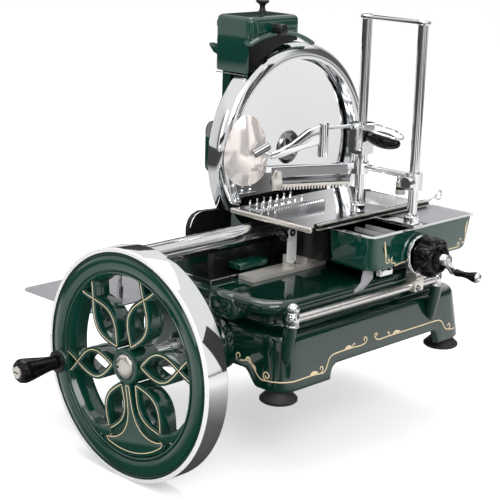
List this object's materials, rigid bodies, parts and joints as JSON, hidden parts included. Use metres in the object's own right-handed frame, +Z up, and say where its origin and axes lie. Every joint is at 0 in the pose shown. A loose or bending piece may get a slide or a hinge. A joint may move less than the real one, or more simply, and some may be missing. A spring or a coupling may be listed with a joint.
{
  "type": "hand crank meat slicer",
  "caption": "Flywheel meat slicer: a hand crank spins the wheel and a round blade, a carriage slides past it, a screw feeds the table and a press slides on posts.",
  "frame": {"origin": "centre between the four feet, on the plane they stand on, below the flywheel shaft", "axes": "+Z up, +X along the carriage stroke away from the flywheel, +Y from the meat side to the slice tray"},
  "size_m": [0.7513, 0.6287, 0.7038],
  "materials": {
    "green_enamel": "glossy enamel",
    "chrome": "polished",
    "steel": "turned",
    "grey_plate": "anodised",
    "black_lacquer": "glossy",
    "black_metal": "glossy",
    "rubber": "matt",
    "champagne": "satin",
    "stone": "sintered abrasive",
    "dark_steel": "polished"
  },
  "bodies": {
    "base": {"base_casting": "green_enamel", "foot_front_left": "rubber", "foot_front_right": "rubber", "foot_rear_left": "rubber", "foot_rear_right": "rubber", "rod_post_left": "chrome", "rod_post_right": "chrome", "front_rod": "chrome", "guide_bar": "chrome", "bar_web": "black_metal", "deck_channel": "black_metal", "blade_guard": "chrome", "guard_spider": "dark_steel", "blade_column": "green_enamel", "rear_cover": "green_enamel", "slice_tray": "grey_plate", "tray_bracket": "black_metal", "tray_pin": "steel"},
    "flywheel_set": {"flywheel": "green_enamel", "flywheel_tyre": "chrome", "hub_cap": "champagne", "handle_spindle": "steel", "flywheel_shaft": "steel"},
    "wheel_grip": {"handle_grip": "black_lacquer"},
    "cross_drive": {"cross_shaft": "steel"},
    "blade_set": {"blade_shaft": "steel", "blade": "chrome", "blade_nut": "chrome"},
    "sharpener": {"sharpener_hood": "green_enamel"},
    "front_stone": {"stone_front": "stone"},
    "back_stone": {"stone_back": "stone"},
    "sharpener_knob": {"lock_knob": "black_lacquer"},
    "carriage": {"carriage_box": "green_enamel", "carriage_lip": "chrome", "carriage_saddle": "black_metal", "trough_cover": "grey_plate", "rod_clamp": "champagne", "drive_slider": "chrome", "feed_flange": "chrome"},
    "slider_lever": {"release_lever": "chrome", "lever_ball": "black_lacquer"},
    "feed_crank": {"feed_screw": "steel", "feed_knob": "black_lacquer", "crank_arm": "chrome"},
    "crank_handle": {"crank_grip": "black_lacquer"},
    "table": {"meat_table": "dark_steel", "table_edge": "champagne", "table_rail": "black_metal", "table_comb": "steel", "table_pins": "chrome", "post_left": "chrome", "post_right": "chrome", "post_strap": "chrome"},
    "press": {"press_head": "chrome", "press_comb": "chrome", "press_clamp": "chrome", "press_grip": "black_lacquer"},
    "squeeze_lever": {"press_lever": "chrome"},
    "shield": {"shield_arm": "chrome", "meat_shield": "chrome"}
  },
  "joints": [
    {"name": "flywheel_spin", "type": "hinge", "parent": "base", "child": "flywheel_set", "pos_m": [0, 0, 0.07], "axis": [1, 0, 0], "continuous": true},
    {"name": "wheel_grip_spin", "type": "hinge", "parent": "flywheel_set", "child": "wheel_grip", "pos_m": [-0.46, 0.1514, 0.0392], "axis": [1, 0, 0], "continuous": true},
    {"name": "cross_shaft_spin", "type": "hinge", "parent": "base", "child": "cross_drive", "pos_m": [0.058, 0.1, 0.07], "axis": [0, 1, 0], "continuous": true},
    {"name": "blade_spin", "type": "hinge", "parent": "base", "child": "blade_set", "pos_m": [0.058, 0.12, 0.335], "axis": [0, 1, 0], "continuous": true},
    {"name": "sharpener_lift", "type": "hinge", "parent": "base", "child": "sharpener", "pos_m": [-0.002, 0.192, 0.552], "axis": [1, 0, 0], "range_deg": [-75, 0]},
    {"name": "front_stone_spin", "type": "hinge", "parent": "sharpener", "child": "front_stone", "pos_m": [0.004, 0.09, 0.54], "axis": [0, 1, 0], "continuous": true},
    {"name": "back_stone_spin", "type": "hinge", "parent": "sharpener", "child": "back_stone", "pos_m": [-0.046, 0.17, 0.523], "axis": [0, 1, 0], "continuous": true},
    {"name": "lock_knob_turn", "type": "hinge", "parent": "sharpener", "child": "sharpener_knob", "pos_m": [-0.01, 0.125, 0.568], "axis": [0, 0, 1], "range_deg": [-90, 90]},
    {"name": "carriage_slide", "type": "slide", "parent": "base", "child": "carriage", "axis": [1, 0, 0], "range_m": [-0.165, 0.03]},
    {"name": "slider_lever_swing", "type": "hinge", "parent": "carriage", "child": "slider_lever", "pos_m": [-0.083, -0.029, 0.188], "axis": [0, 1, 0], "range_deg": [-45, 8]},
    {"name": "table_feed", "type": "slide", "parent": "carriage", "child": "table", "axis": [0, 1, 0], "range_m": [-0.11, 0.003]},
    {"name": "feed_crank_turn", "type": "hinge", "parent": "carriage", "child": "feed_crank", "pos_m": [0.06, -0.18, 0.204], "axis": [0, 1, 0], "range_deg": [-3965, 110]},
    {"name": "crank_grip_spin", "type": "hinge", "parent": "feed_crank", "child": "crank_handle", "pos_m": [0.08633, -0.25, 0.17945], "axis": [0, 1, 0], "continuous": true},
    {"name": "press_slide", "type": "slide", "parent": "table", "child": "press", "axis": [0, 0, 1], "range_m": [-0.018, 0.155]},
    {"name": "squeeze_lever_swing", "type": "hinge", "parent": "press", "child": "squeeze_lever", "pos_m": [0.051, -0.054, 0.399], "axis": [1, 0, 0], "range_deg": [-25, 4]},
    {"name": "shield_swing", "type": "hinge", "parent": "press", "child": "shield", "pos_m": [-0.01154, -0.02484, 0.376], "axis": [0, 0, 1], "range_deg": [-6, 75]}
  ],
  "couplings": [
    {"joint": "cross_shaft_spin", "follows": "flywheel_spin", "ratio": 1},
    {"joint": "blade_spin", "follows": "flywheel_spin", "ratio": 1.5},
    {"joint": "feed_crank_turn", "follows": "table_feed", "rad_per_m": 628.32}
  ]
}
